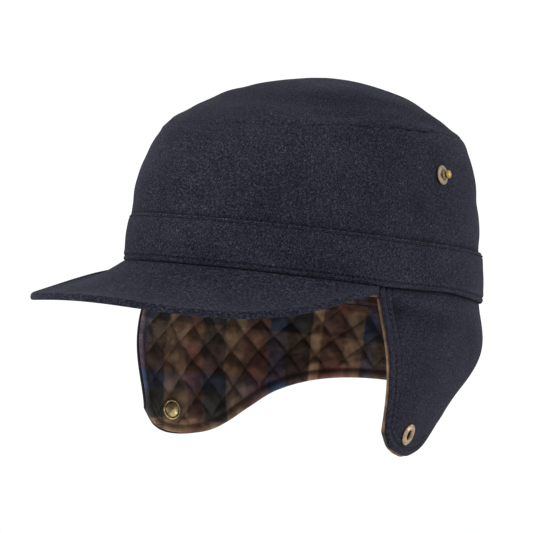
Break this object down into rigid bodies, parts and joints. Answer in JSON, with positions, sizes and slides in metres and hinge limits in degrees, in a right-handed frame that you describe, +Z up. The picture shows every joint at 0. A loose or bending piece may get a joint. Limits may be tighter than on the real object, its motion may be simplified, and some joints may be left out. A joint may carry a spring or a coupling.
{
  "type": "cap with earflaps",
  "caption": "Wool field cap with a banded crown, a short curved peak and a wraparound earflap lined with quilted tartan, fastened up by brass press studs.",
  "frame": {"origin": "centre of the head opening in the rim plane, where the cap sits on a head", "axes": "+Z up through the crown, -Y forwards along the peak, +X towards the wearer's left"},
  "size_m": [0.1813, 0.2735, 0.1999],
  "materials": {
    "navy_wool": "dark navy melton wool, matt with a fine fuzzy nap",
    "tartan_band": "brown tartan cloth, flat woven strip",
    "tartan_quilt": "muted brown, rust, olive and navy tartan, quilted in diamonds",
    "brass": "antique brass, brushed and darkened in its recesses"
  },
  "bodies": {
    "root": {"crown_side": "navy_wool", "crown_top": "navy_wool", "band": "navy_wool", "inner_band": "tartan_band", "peak": "navy_wool", "flap_shell": "navy_wool", "flap_lining": "tartan_quilt", "crown_stud_left": "brass", "crown_stud_right": "brass", "flap_socket_left": "brass", "flap_socket_right": "brass", "flap_cap_left": "brass", "flap_cap_right": "brass"}
  },
  "joints": []
}
